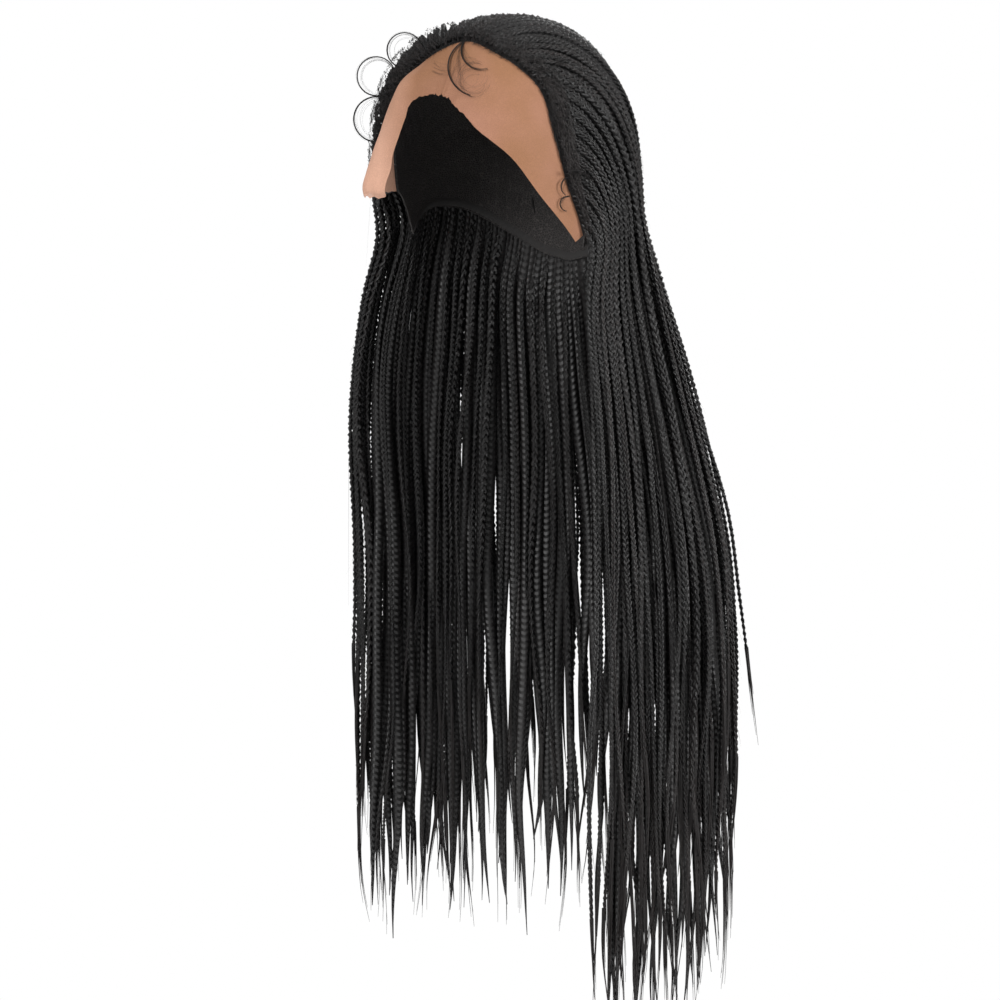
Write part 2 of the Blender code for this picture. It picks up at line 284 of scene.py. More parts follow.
def on_crown(share, along, offset=0.0):
    """Points and normals on the way over the cap, from the hairline (along 0) to the cap's rim (along 1)."""
    share, along = np.broadcast_arrays(np.asarray(share, float), np.asarray(along, float))
    side, row = flow_row(share)
    tilt, turn = np.radians(row.over_tilt), np.radians(side * row.over_azimuth)
    over = np.stack([np.sin(tilt) * np.sin(turn), -np.sin(tilt) * np.cos(turn), np.cos(tilt)], -1)
    rim = unit_place(side * row.rim_azimuth, row.rim_depth * CROWN_HEIGHT)
    s = along[..., None]
    return on_head(hairline_place(share) * (1 - s) ** 2 + over * 2 * s * (1 - s) + rim * s**2, offset)


def cells(grid):
    """The four corners of each cell, from grids of rows by columns of numbers or points."""
    corners = [grid[:, :-1, :-1], grid[:, :-1, 1:], grid[:, 1:, 1:], grid[:, 1:, :-1]]
    return np.stack(corners, 3)


class Pile:
    """Corners and four-sided faces of many small shapes, gathered for one joined mesh."""

    def __init__(self):
        self.points, self.faces, self.uvs, self.tones, self.reaches = [], [], [], [], []
        self.count = 0

    def add_grids(self, points, tone=0.5, reach=0.5, closed=False, along=None):
        """One or many grids of rows by columns of points. The columns of a closed one join into a tube."""
        rows, columns = points.shape[-3:-1]
        points = points.reshape(-1, rows, columns, 3)
        index = np.arange(points[..., 0].size).reshape(points.shape[:3]) + self.count
        across = np.concatenate([index, index[..., :1]], -1) if closed else index
        self.faces.append(cells(across).reshape(-1, 4))
        u = np.linspace(0, 1, across.shape[2])
        v = np.linspace(0, 1, rows) if along is None else along
        sheet_u, sheet_v = np.broadcast_arrays(u, np.reshape(v, (-1, 1)))
        places = np.broadcast_to(np.stack([sheet_u, sheet_v], -1), across.shape + (2,))
        self.uvs.append(cells(places).reshape(-1, 2))
        self.points.append(points.reshape(-1, 3))
        self.tones.append(np.broadcast_to(tone, index.shape).ravel())
        self.reaches.append(np.broadcast_to(np.reshape(reach, (1, -1, 1)), index.shape).ravel())
        self.count += index.size

    def make(self, name, material):
        points, faces = np.concatenate(self.points), np.concatenate(self.faces)
        mesh = bpy.data.meshes.new(name)
        mesh.vertices.add(len(points))
        mesh.vertices.foreach_set("co", points.astype(np.float32).ravel())
        mesh.loops.add(faces.size)
        mesh.loops.foreach_set("vertex_index", faces.astype(np.int32).ravel())
        mesh.polygons.add(len(faces))
        mesh.polygons.foreach_set("loop_start", np.arange(0, faces.size, 4, dtype=np.int32))
        uvs = np.concatenate(self.uvs).astype(np.float32)
        mesh.uv_layers.new(name="lie").data.foreach_set("uv", uvs.ravel())
        for label, values in (("tone", self.tones), ("reach", self.reaches)):
            layer = mesh.attributes.new(label, "FLOAT", "POINT")
            layer.data.foreach_set("value", np.concatenate(values).astype(np.float32))
        mesh.update(calc_edges=True)
        mesh.shade_smooth()
        mesh.materials.append(material)
        obj = bpy.data.objects.new(name, mesh)
        bpy.context.collection.objects.link(obj)
        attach(obj, "root")
        return obj


NET_COLOUR = (0.014, 0.012, 0.012, 1)
NET_THREAD = (0.045, 0.04, 0.038, 1)
NET_PITCH = 0.0016
net = Finish("black_net", Roughness=0.85)
net_place = net.node("ShaderNodeTexCoord", {}, {}, "Object")
net_grid = {"Vector": net_place, "Scale": 1 / NET_PITCH}
mesh_cells = net.node("ShaderNodeTexVoronoi", {"feature": "DISTANCE_TO_EDGE"}, net_grid)
thread = 1 - mesh_cells.clipped(0.05, 0.16)
net.paint(Base_Color=net.blend(thread, NET_COLOUR, NET_THREAD))
net.bump(thread, 0.0004)
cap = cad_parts["wig_cap"]
cap.data.materials.clear()
cap.data.materials.append(net.material)

# A plait's way over the cap is taken as WAY_LENGTH long wherever a length is turned into a share of it
WAY_LENGTH = 0.20
TAPE_WIDTH = 0.007
TAPE_EDGE = 0.004
TAPE_STAND_OFF = -0.0006
TAPE_BLACK = (0.012, 0.011, 0.011, 1)
TAPE_RIB = (0.04, 0.037, 0.036, 1)
tape_share = np.linspace(0, 1, 260)
tape_along = np.linspace(0, 1, 5)


def tape_row(along_start, along_end):
    """A narrow band on the inner side of the cap, between two places on each plait's way."""
    rows = []
    for width_share in tape_along:
        along = along_start + (along_end - along_start) * width_share
        bulge = TAPE_STAND_OFF * (0.6 + np.sin(np.pi * width_share))
        rows.append(on_crown(tape_share, along, np.full(tape_share.shape, bulge))[0])
    return np.stack(rows, 1)


tape_pile = Pile()
tape_share_of_way = TAPE_WIDTH / WAY_LENGTH
tape_pile.add_grids(tape_row(TAPE_EDGE, tape_share_of_way))
tape_pile.add_grids(tape_row(1 - tape_share_of_way, 1 - TAPE_EDGE))
tape = Finish("elastic_tape", Roughness=0.7)
tape_place = tape.node("ShaderNodeUVMap", {"uv_map": "lie"}, {})
ribs = tape.node("ShaderNodeTexWave", {"bands_direction": "Y"}, {"Vector": tape_place, "Scale": 90.0})
tape.paint(Base_Color=tape.blend(ribs, TAPE_BLACK, TAPE_RIB))
tape.bump(ribs, 0.0003)
cap_tape = tape_pile.make("cap_edge_tape", tape.material)

# Lace. A sheer brown net in front of the hairline, sewn to the cap there and cut by hand along its free edge.
# It ends in an ear tab at each side: the wig's right one stands off in soft gathers over a pinked edge.

LaceEdge = namedtuple("LaceEdge", "share azimuth depth flare")
LACE_EDGES = (
    LaceEdge(0.000, 70.5, 1.500, 0.000),
    LaceEdge(0.030, 52.0, 1.219, 0.000),
    LaceEdge(0.060, 37.0, 0.943, 0.000),
    LaceEdge(0.100, 21.0, 0.762, 0.000),
    LaceEdge(0.170, 12.0, 0.648, 0.000),
    LaceEdge(0.330, 2.0, 0.543, 0.000),
    LaceEdge(0.670, -8.0, 0.519, 0.000),
    LaceEdge(0.780, -17.0, 0.540, 0.070),
    LaceEdge(0.850, -22.0, 0.610, 0.140),
    LaceEdge(0.900, -25.0, 0.745, 0.135),
    LaceEdge(0.930, -31.0, 0.900, 0.145),
    LaceEdge(0.955, -36.0, 1.050, 0.200),
    LaceEdge(0.975, -40.0, 1.170, 0.265),
    LaceEdge(1.000, -44.0, 1.210, 0.275),
)
TAB_START = 0.93
LACE_BULGE = 0.88
LACE_BULGE_LOW = 1.4
LACE_LIFT = 0.0006
CUT_DRIFT = 0.02
CUT_RAGGED = 0.012
TAB_GATHER = 0.0010
LACE_PUCKER = 0.0007
PINKING = 0.008
PINKS = 9
PINK_STEPS = 2


def unit(vectors):
    return vectors / np.maximum(np.linalg.norm(vectors, axis=-1, keepdims=True), 1e-12)


def wave(random, at, length, count=3):
    """Slow sideways drift between about -1 and 1, different for each random generator's turn."""
    total = np.zeros_like(at)
    for k in range(count):
        total += np.sin(2 * np.pi * (at / length * (0.55 + 0.6 * k) + random.random())) / (1 + k)
    return total / 1.6


def on_lace(share, down, lift=0.0):
    """Points of the lace, from the hairline (down 0) to its free edge (down 1)."""
    edge = LaceEdge(*(column(LACE_EDGES, name, share) for name in LaceEdge._fields))
    top = hairline_place(share)
    foot = unit_place(edge.azimuth, edge.depth * CROWN_HEIGHT)
    down = np.asarray(down)
    stand_off = edge.flare * HEAD_HALF_WIDTH * np.sin(LACE_BULGE * np.pi * down**LACE_BULGE_LOW) + lift
    return on_head(top + (foot - top) * down[..., None], stand_off)[0]


lace_random = np.random.default_rng(5)
lace_share = np.concatenate([np.linspace(0, TAB_START, 150)[:-1], np.linspace(TAB_START, 1, 60)])
on_tab = np.clip((lace_share - TAB_START) / (1 - TAB_START), 0, 1)
ragged = CUT_DRIFT * wave(lace_random, lace_share, 0.09) + CUT_RAGGED * wave(lace_random, lace_share, 0.021)
cut_at = 1 + ragged * np.sin(np.pi * np.clip(lace_share, 0.02, 0.98))
lace_down = np.linspace(0.01, 1, 2 * PINK_STEPS * PINKS + 1)
down = cut_at[:, None] * lace_down[None, :]
pinked = PINKING * lace_down * np.abs((lace_down * PINKS) % 1 - 0.5) * 2
lace_places = lace_share[:, None] - pinked[None, :] * on_tab[:, None]
creases = TAB_GATHER * np.sin(2 * np.pi * (on_tab[:, None] * 1.7 + 1.3 * down)) * on_tab[:, None] ** 0.5
creases += LACE_PUCKER * wave(lace_random, np.broadcast_to(lace_share[:, None], down.shape), 0.13) * down
lace_pile = Pile()
lace_pile.add_grids(on_lace(lace_places, down, LACE_LIFT + creases * down))

LACE_SKIN = (0.30, 0.145, 0.075, 1)
LACE_ROSE = (0.36, 0.175, 0.11, 1)
LACE_FAR = (0.66, 0.38, 0.27, 1)
LACE_PITCH = 0.0009
LACE_COVER = 0.82
THREAD_COVER = 0.16
lace_net = Finish("sheer_lace", Roughness=0.62)
lace_net.shader.inputs["Specular IOR Level"].default_value = 0.2
lace_place = lace_net.node("ShaderNodeTexCoord", {}, {}, "Object")
holes_grid = {"Vector": lace_place, "Scale": 1 / LACE_PITCH}
holes = lace_net.node("ShaderNodeTexVoronoi", {"feature": "DISTANCE_TO_EDGE"}, holes_grid)
knitted = 1 - holes.clipped(0.06, 0.22)
patches = lace_net.node("ShaderNodeTexNoise", {}, {"Vector": lace_place, "Scale": 22.0, "Detail": 2.0})
lace_skin = lace_net.blend(patches.clipped(0.35, 0.65), LACE_SKIN, LACE_ROSE)
sideways = lace_net.node("ShaderNodeSeparateXYZ", {}, {"Vector": lace_place})
far_off = (sideways * -1 + patches * 0.02).clipped(0.035, 0.070)
lace_net.paint(Base_Color=lace_net.blend(far_off, lace_skin, LACE_FAR))
lace_net.paint(Alpha=knitted * THREAD_COVER + LACE_COVER)
lace_net.bump(knitted, 0.0002, 0.5)
lace = lace_pile.make("lace_net", lace_net.material)
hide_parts("lace_front")

# Plaits. Thin three-strand plaits of black synthetic hair, knotted one by one along the hairline and over the
# cap. They are combed back, run side by side over the cap and hang free below its rim, several layers deep.

ROW_HEIGHT = 0.0085
HAIRLINE_THINNING = 0.30
HAIRLINE_RISE = 0.35
HAIR_DROP = 0.735
FALL_REACH = 0.175
RIM_EASE = 0.09
PATH_STEP = 0.006

# How much higher the hair heaps up in some places, in ROW_HEIGHTs: behind the hairline, halfway, at the rim
Heap = namedtuple("Heap", "share front middle rim")
HEAPS = (
    Heap(0.00, 0.0, 0.2, 0.7),
    Heap(0.20, 0.0, -0.1, 0.8),
    Heap(0.35, 0.0, -0.4, 0.6),
    Heap(0.50, -0.2, -0.45, 0.2),
    Heap(0.65, 0.1, -0.25, 0.4),
    Heap(0.80, 0.9, 0.8, 1.0),
    Heap(0.90, 1.5, 1.5, 1.8),
    Heap(1.00, 1.6, 2.0, 2.6),
)
HEAP_STOPS = (0, 0.15, 0.5, 1)

# Level sections through the hanging hair: depths in HAIR_DROPs, azimuths of its ends, and how far its outer
# face is from the wig's axis, in FALL_REACHes
Section = namedtuple(
    "Section",
    "depth near_azimuth far_azimuth near_front near_side near_back back far_back far_side far_front",
)
SECTIONS = (
    Section(0.272, 69.5, 278.0, 0.500, 0.640, 0.700, 0.610, 0.620, 0.660, 0.700),
    Section(0.408, 69.0, 266.0, 0.560, 0.775, 0.880, 0.720, 0.722, 0.846, 0.874),
    Section(0.544, 68.0, 262.0, 0.583, 0.885, 1.000, 0.800, 0.789, 0.914, 0.903),
    Section(0.748, 67.0, 262.0, 0.606, 0.905, 1.035, 0.817, 0.800, 0.914, 0.903),
    Section(1.000, 66.0, 264.0, 0.594, 0.870, 1.020, 0.800, 0.777, 0.869, 0.857),
)
STATIONS = ("near_front", "near_side", "near_back", "back", "far_back", "far_side", "far_front")
TIP_SHARES = (0.00, 0.17, 0.25, 0.33, 0.50, 0.75, 1.00)
TIP_DEPTHS = (0.990, 0.975, 0.900, 0.845, 0.920, 0.945, 0.930)


def hair_top(share, along):
    """How far the outer face of the hair stands off the inside of the cap on its way over it."""
    share, along = np.broadcast_arrays(np.asarray(share, float), np.asarray(along, float))
    heights = [column(HEAPS, name, share) for name in ("front", "middle", "rim")]
    heap = np.zeros_like(along)
    for index in np.ndindex(along.shape):
        heap[index] = smooth(HEAP_STOPS, [0] + [height[index] for height in heights], along[index])
    thin = HAIRLINE_THINNING + (1 - HAIRLINE_THINNING) * np.clip(along / HAIRLINE_RISE, 0, 1)
    return CAP_WALL + CROWN_GAP + ROW_HEIGHT * (thin + heap)


def fall_face(share, depth):
    """Points of the hanging hair's outer face, for one share and an array of depths below the cap's top."""
    start = on_crown(share, 1.0, hair_top(share, 1.0))[0]
    places = [start[:2]]
    for section in SECTIONS:
        turn = np.radians(smooth((0, 0.5, 1), (section.near_azimuth, 180, section.far_azimuth), share))
        reaches = [getattr(section, name) for name in STATIONS]
        reach = FALL_REACH * smooth(np.linspace(0, 1, len(STATIONS)), reaches, share)
        places.append(np.array([reach * np.sin(turn), -reach * np.cos(turn)]))
    places = np.array(places)
    knots = [-start[2]] + [section.depth * HAIR_DROP for section in SECTIONS]
    return np.stack([smooth(knots, places[:, 0], depth), smooth(knots, places[:, 1], depth), -depth], -1)


# The outer faces are worked out once on grids, and read between their points
GRID_SHARES = np.linspace(0, 1, 101)
GRID_DROPS = np.linspace(0, 1, 61)
GRID_ALONG = np.linspace(0, 1, 21)
GRID_END = 0.99999
FACE_STEP = 0.01
top_grid = hair_top(GRID_SHARES[:, None], GRID_ALONG[None, :])
rim_depths = -on_crown(GRID_SHARES, 1.0, top_grid[:, -1])[0][:, 2]
face_grid = np.stack(
    [fall_face(share, rim + (HAIR_DROP - rim) * GRID_DROPS) for share, rim in zip(GRID_SHARES, rim_depths)]
)


def read_grid(grid, share, along):
    """Values of a grid over the two shares, in between its points."""
    i = np.clip(share, 0, GRID_END) * (grid.shape[0] - 1)
    j = np.clip(along, 0, GRID_END) * (grid.shape[1] - 1)
    i0, j0 = i.astype(int), j.astype(int)
    shape = i.shape + (1,) * (grid.ndim - 2)
    u, v = (i - i0).reshape(shape), (j - j0).reshape(shape)
    near = grid[i0, j0] * (1 - v) + grid[i0, j0 + 1] * v
    far = grid[i0 + 1, j0] * (1 - v) + grid[i0 + 1, j0 + 1] * v
    return near * (1 - u) + far * u


def on_face(share, drop):
    """Points of the hanging hair's outer face and the ways inwards, from the rim (0) to the foot (1)."""
    row = read_grid(face_grid, share + FACE_STEP, drop) - read_grid(face_grid, share - FACE_STEP, drop)
    inwards = unit(np.stack([-row[..., 1], row[..., 0], 0 * row[..., 0]], -1))
    return read_grid(face_grid, share, drop), inwards


def resample(points, step):
    """The same line with points an even step apart, and how far along it each one is."""
    way = np.concatenate([[0], np.cumsum(np.linalg.norm(np.diff(points, axis=0), axis=1))])
    at = np.linspace(0, way[-1], max(int(round(way[-1] / step)), 2) + 1)
    return np.stack([np.interp(at, way, points[:, k]) for k in range(points.shape[1])], 1), at


def eased(points, reach):
    """The line with its corners rounded over that many points each way. Its ends stay where they are."""
    window = np.hanning(2 * reach + 3)[1:-1]
    window /= window.sum()
    before = 2 * points[:1] - points[1 : reach + 1][::-1]
    after = 2 * points[-1:] - points[-reach - 1 : -1][::-1]
    long = np.concatenate([before, points, after])
    return np.stack([np.convolve(long[:, k], window, "valid") for k in range(points.shape[1])], 1)


Plait = namedtuple("Plait", "share start layer width period tip loose drift roll tone sides samples")
ROOT_LIFT = 0.0029
ROOT_RISE = 0.07
PLAIT_REST = 0.41
HIDDEN_REST = 0.27
CROWN_STEPS = 40
HANG_STEPS = 90
FREE_BELOW = 0.25
TIP_PART = 0.16
SWAY = 0.0020
TIP_SWAY = 0.005
TIP_ASIDE = 0.006
CORNER_REACH = 4


def plait_line(plait, random):
    """The middle line of a plait, from its knot over the cap and down to its tip."""
    along = np.linspace(plait.start, 1, CROWN_STEPS)[:-1]
    share = np.full(along.shape, plait.share)
    top = read_grid(top_grid, share, along) - 0.5 * plait.width
    from_root = np.clip((along - plait.start) / ROOT_RISE, 0, 1)
    lift = top - plait.layer * along
    lift = np.maximum(lift, CAP_WALL + (PLAIT_REST if plait.sides else HIDDEN_REST) * plait.width)
    lift = ROOT_LIFT + (lift - ROOT_LIFT) * from_root
    crown = on_crown(share, along, lift)[0]
    rim = np.interp(plait.share, GRID_SHARES, rim_depths)
    drop = np.linspace(0.004, (plait.tip - rim) / (HAIR_DROP - rim), HANG_STEPS)
    down = drop * (HAIR_DROP - rim)
    free = np.clip(down / FREE_BELOW, 0, 1)
    tip = np.clip(1 - (down[-1] - down) / TIP_PART, 0, 1)
    share = plait.share + plait.drift * wave(random, down, 0.42) * free
    face, inwards = on_face(np.clip(share, 0.002, 0.998), drop)
    at_rim = top[-1] + 0.5 * plait.width - lift[-1]
    settled = 0.5 * plait.width + plait.layer * (1 - 0.6 * tip)
    hang = np.clip(down / RIM_EASE, 0, 1) ** 0.8
    sway = SWAY * wave(random, down, 0.3) * free + TIP_SWAY * wave(random, down, 0.2) * tip
    inset = np.maximum(at_rim + (settled - at_rim) * hang + sway, 0.4 * plait.width)
    aside = unit(np.cross(inwards, (0, 0, 1))) * (TIP_ASIDE * wave(random, down, 0.24) * tip)[:, None]
    line = resample(np.concatenate([crown, face + inwards * inset[:, None] + aside]), PATH_STEP)[0]
    return eased(line, CORNER_REACH)


def frames(line):
    """For each point of a line: the way across the hair and the way out of it."""
    way = unit(np.gradient(line, axis=0))
    middle = np.zeros_like(line)
    middle[:, 2] = np.minimum(line[:, 2], -CROWN_HEIGHT)
    across = unit(np.cross(way, line - middle))
    return across, np.cross(across, way)


def tube(pile, centres, wide, deep, outwards, sides, tone, reach, along):
    """A tube round a line, wide and deep in section, as part of a joined mesh."""
    way = unit(np.gradient(centres, axis=0))
    side = unit(np.cross(outwards, way))
    up = np.cross(way, side)
    angles = 2 * np.pi * (np.arange(sides) + 0.5 * (sides % 2 == 0)) / sides + np.pi / 2
    ring = np.cos(angles)[None, :, None] * side[:, None] * np.reshape(wide, (-1, 1, 1))
    ring = ring + np.sin(angles)[None, :, None] * up[:, None] * np.reshape(deep, (-1, 1, 1))
    pile.add_grids(centres[:, None] + ring, tone, reach, closed=True, along=along)


STRAND_SWING = 0.27
STRAND_WEAVE = 0.19
STRAND_WIDE = 0.235
STRAND_DEEP = 0.20
# Painted shade on the strands, as a share of tone: lower where a strand dips under the others, higher where
# it crosses on top
STRAND_PAINTED_SHADE = 0.25
STRAND_TONE = 0.10
ROLL_FROM = 0.12
ROLL_GROWS = 0.15
ROOT_SIZE = 0.7
ROOT_GROWS = 0.02
END_SIZE = 0.68
END_TAPER = 0.5
HIDDEN_STEP = 0.012
HIDDEN_ROOT_SIZE = 0.55
HIDDEN_GROWTH = 0.65
HIDDEN_GROWS_FROM = 0.16
HIDDEN_GROWS_OVER = 0.10
HIDDEN_WIDE = 0.60
HIDDEN_DEEP = 0.42
HIDDEN_SIDES = 5


def add_plait(pile, plait, line, random):
    """Three strands that pass over each other in turn, up to where the plait ends in loose hair."""
    points, way = resample(line, plait.period / plait.samples)
    keep = way < way[-1] - plait.loose
    points, way = points[keep], way[keep]
    across, out = frames(points)
    roll = plait.roll * wave(random, way, 0.35, 2) * np.clip((way - ROLL_FROM) / ROLL_GROWS, 0, 1)
    turned = across * np.cos(roll)[:, None] + out * np.sin(roll)[:, None]
    out = out * np.cos(roll)[:, None] - across * np.sin(roll)[:, None]
    turn = 2 * np.pi * np.arange(len(way)) / plait.samples
    size = plait.width * np.clip(ROOT_SIZE + way / ROOT_GROWS, 0, 1) * (1 + 0.06 * wave(random, way, 0.08))
    size *= np.clip(END_SIZE + (way[-1] - way) / END_TAPER, 0, 1)
    reach = way / (way[-1] + plait.loose)
    for strand in range(3):
        phase = turn + 2 * np.pi * strand / 3
        centres = points + turned * (STRAND_SWING * size * np.cos(phase))[:, None]
        centres += out * (STRAND_WEAVE * size * np.sin(2 * phase))[:, None]
        # Painted shade: the tone goes down where the strand weaves under the other two and up where it comes
        # out over them
        tone = (plait.tone + STRAND_TONE * (strand - 1) + STRAND_PAINTED_SHADE * np.sin(2 * phase))[:, None]
        tube(pile, centres, STRAND_WIDE * size, STRAND_DEEP * size, out, plait.sides, tone, reach, way)


def add_hidden_plait(pile, plait, line):
    """A plait deep in the hair, as one plain tube: its finish shows the stitches."""
    points, way = resample(line, HIDDEN_STEP)
    out = frames(points)[1]
    growth = HIDDEN_GROWTH * np.clip((way - HIDDEN_GROWS_FROM) / HIDDEN_GROWS_OVER, 0, 1)
    size = plait.width * (HIDDEN_ROOT_SIZE + growth)
    size *= np.clip((way[-1] - way) / (1.3 * plait.loose), 0.04, 1) ** 0.8
    tube(pile, points, HIDDEN_WIDE * size, HIDDEN_DEEP * size, out, HIDDEN_SIDES, plait.tone, 0.4, way)


WISP_RADIUS = 0.0008
WISP_END = 0.00012
WISP_STEP = 0.004
WISP_START = 0.008
WISP_WIDTH = 0.0055
END_WISPS = 7
HIDDEN_WISPS = 3


def add_loose_end(pile, plait, line, wisps, random):
    """The unplaited end of a plait: a few wisps that start together, part a little and taper away."""
    points, way = resample(line, WISP_STEP)
    keep = way > way[-1] - plait.loose - WISP_START
    points, way = points[keep], way[keep]
    across, out = frames(points)
    for wisp in range(wisps):
        long = 0.3 + 0.7 * random.random() if wisp else 1.0
        count = max(int(len(points) * long), 4)
        picked = np.unique(np.linspace(0, count - 1, min(count, 9)).astype(int))
        along = (way[picked] - way[0]) / (way[-1] - way[0])
        angle = 2 * np.pi * (wisp + random.random()) / wisps
        part = 0.0009 * (1 - along) + (0.0002 + 0.0014 * random.random()) * along
        part = (part + 0.0010 * wave(random, along, 0.8) * along) * (wisp > 0)
        centres = points[picked] + across[picked] * (np.cos(angle) * part)[:, None]
        centres += out[picked] * (np.sin(angle) * part)[:, None]
        own = np.linspace(0, 1, len(picked))
        radius = WISP_RADIUS * plait.width / WISP_WIDTH * (1 - own) ** 1.1 + WISP_END
        tube(pile, centres, radius, radius, out[picked], 3, plait.tone, 0.75 + 0.25 * own, way[picked])


# How many plaits: knotted along the hairline, higher on the cap, on the inner side and hidden between these.
# Those up to FINE_UP_TO are nearest the camera and get finer steps.
HAIRLINE_PLAITS = 80
CAP_PLAITS = 50
INNER_PLAITS = 46
HIDDEN_PLAITS = 110
GROUPS = 5
PLAIT_WIDTH = 0.0053
WIDE_PLAITS = 0.10
WIDER = 1.45
NARROWEST = 0.0038
WIDEST = 0.0085
STITCH_LENGTH = 0.0050
FINE_UP_TO = 0.3
TIP_LOWERED = 0.014
TIP_RAISED = 0.13
TIP_SPREAD = 0.010
LOWEST_TIP = 0.995
HAIRLINE_START = 0.012
INNER_START = 0.93
HIDDEN_START = 0.04
DEEP_SHARES = (0.02, 0.40, 0.70, 0.98)
ROOM_WIDENS = 0.15

random = np.random.default_rng(17)
hairline_shares = np.linspace(0, 1, 2001)
hairline = on_head(hairline_place(hairline_shares))[0]
hairline_way = np.concatenate([[0], np.cumsum(np.linalg.norm(np.diff(hairline, axis=0), axis=1))])
plaits = []


def tip_depth(share):
    uneven = TIP_LOWERED - TIP_RAISED * random.random() ** 1.6 + TIP_SPREAD * random.standard_normal()
    return min(HAIR_DROP * smooth(TIP_SHARES, TIP_DEPTHS, share) + uneven, HAIR_DROP * LOWEST_TIP)


def new_plait(share, start, layer, drift, sides, samples):
    width = PLAIT_WIDTH * (1 + 0.15 * random.standard_normal())
    width = np.clip(width * (WIDER if random.random() < WIDE_PLAITS else 1), NARROWEST, WIDEST)
    plaits.append(
        Plait(
            share=float(share),
            start=start,
            layer=layer,
            width=width,
            period=3 * STITCH_LENGTH * (width / PLAIT_WIDTH) ** 0.5 * (1 + 0.12 * random.standard_normal()),
            tip=tip_depth(share),
            loose=0.06 + 0.08 * random.random(),
            drift=drift,
            roll=1.0 + 0.6 * random.random(),
            tone=0.1 + 0.8 * random.random(),
            sides=sides,
            samples=samples,
        )
    )


def deep_share(i, count):
    """Shares for the deeper layers, closer together where the hair is drawn forward."""
    return np.interp((i + 0.5) / count, (0, 0.5, 0.75, 1), DEEP_SHARES)


for i in range(HAIRLINE_PLAITS):
    share = np.interp((i + 0.5) / HAIRLINE_PLAITS * hairline_way[-1], hairline_way, hairline_shares)
    fineness = (3, 7) if share < FINE_UP_TO else (3, 5)
    new_plait(share, HAIRLINE_START, 0.0040 * (i % 3) + 0.002 * random.random(), 0.012, *fineness)
for i in range(CAP_PLAITS):
    share = 0.10 + 0.82 * (i + 0.5) / CAP_PLAITS
    fineness = (3, 6) if share < FINE_UP_TO else (3, 5)
    new_plait(share, 0.26 + 0.36 * random.random(), 0.002 + 0.010 * random.random(), 0.012, *fineness)
for i in range(INNER_PLAITS):
    share = deep_share(i, INNER_PLAITS)
    room = np.clip((share - DEEP_SHARES[0]) / ROOM_WIDENS, 0, 1)
    new_plait(share, INNER_START, 0.006 + (0.020 + 0.010 * random.random()) * room, 0.016, 3, 5)
for i in range(HIDDEN_PLAITS):
    share = deep_share(i, HIDDEN_PLAITS)
    room = np.clip((share - DEEP_SHARES[0]) / ROOM_WIDENS, 0, 1)
    new_plait(share, HIDDEN_START, 0.009 + (0.004 + 0.012 * random.random()) * room, 0.014, 0, 0)

HAIR_BLACK = (0.0028, 0.0025, 0.0026, 1)
HAIR_PALE = (0.030, 0.0270, 0.0270, 1)
HAIR_BROWN = (0.038, 0.022, 0.018, 1)


def hair_finish(name, roughness, stitches=0.0):
    """Synthetic hair: near black, fine glossy streaks along each strand, and a little brown near the tips."""
    hair = Finish(name, Roughness=roughness)
    hair.shader.inputs["Specular IOR Level"].default_value = 0.44
    lie = hair.node("ShaderNodeUVMap", {"uv_map": "lie"}, {})
    stretched = hair.node("ShaderNodeMapping", {}, {"Vector": lie, "Scale": (9.0, 60.0, 1.0)})
    streaks = hair.node("ShaderNodeTexNoise", {}, {"Vector": stretched, "Scale": 1.0, "Detail": 3.0})
    fine = hair.node("ShaderNodeMapping", {}, {"Vector": lie, "Scale": (26.0, 130.0, 1.0)})
    fibres = hair.node("ShaderNodeTexNoise", {}, {"Vector": fine, "Scale": 1.0, "Detail": 2.0})
    tone = hair.node("ShaderNodeAttribute", {"attribute_name": "tone"}, {}, "Fac")
    reach = hair.node("ShaderNodeAttribute", {"attribute_name": "reach"}, {}, "Fac")
    # Mix from black to pale by streaks and tone. The tone varies at random per plait and per strand. On
    # plaited strands it also carries painted shade where each strand dips under the others, so this mix
    # carries that painted shade too. So does the brown from high tone.
    pale_tone_and_painted_shade = streaks.clipped(0.35, 0.75) * 0.35 + tone * 0.65
    brown = (reach.clipped(0.70, 1.0) * 0.45 + tone.clipped(0.80, 1.05) * 0.35) * fibres.clipped(0.3, 0.7)
    black = hair.blend(pale_tone_and_painted_shade.clipped(0.0, 2.0), HAIR_BLACK, HAIR_PALE)
    hair.paint(Base_Color=hair.blend(brown, black, HAIR_BROWN))
    hair.paint(Roughness=streaks.clipped(0.2, 0.8) * 0.2 + (roughness - 0.1))
    relief = fibres + streaks
    if stitches:
        parts = [hair.node("ShaderNodeSeparateXYZ", {}, {"Vector": lie}, k) for k in range(2)]
        slant = (parts[0] * 4).maths("PINGPONG", 1.0)
        stitch = (parts[1] * (1 / stitches) + slant * 0.5).maths("PINGPONG", 0.5)
        relief = relief * 0.3 + stitch * 4
    hair.bump(relief, 0.0005, 0.8)
    return hair.material


plait_hair = hair_finish("plaited_hair", 0.42)
hidden_hair = hair_finish("hidden_hair", 0.5, STITCH_LENGTH)
loose_hair = hair_finish("loose_hair", 0.5)
piles = [Pile() for _ in range(GROUPS)]
inner_piles = [Pile(), Pile()]
hidden_pile, end_pile = Pile(), Pile()
lines = []
for plait in plaits:
    own = np.random.default_rng(int(plait.share * 1e6) + int(plait.layer * 1e6))
    line = plait_line(plait, own)
    lines.append(line)
    if not plait.sides:
        add_hidden_plait(hidden_pile, plait, line)
    elif plait.start == INNER_START:
        add_plait(inner_piles[plait.share > 0.4], plait, line, own)
    else:
        add_plait(piles[min(int(plait.share * GROUPS), GROUPS - 1)], plait, line, own)
    add_loose_end(end_pile, plait, line, END_WISPS if plait.sides else HIDDEN_WISPS, own)

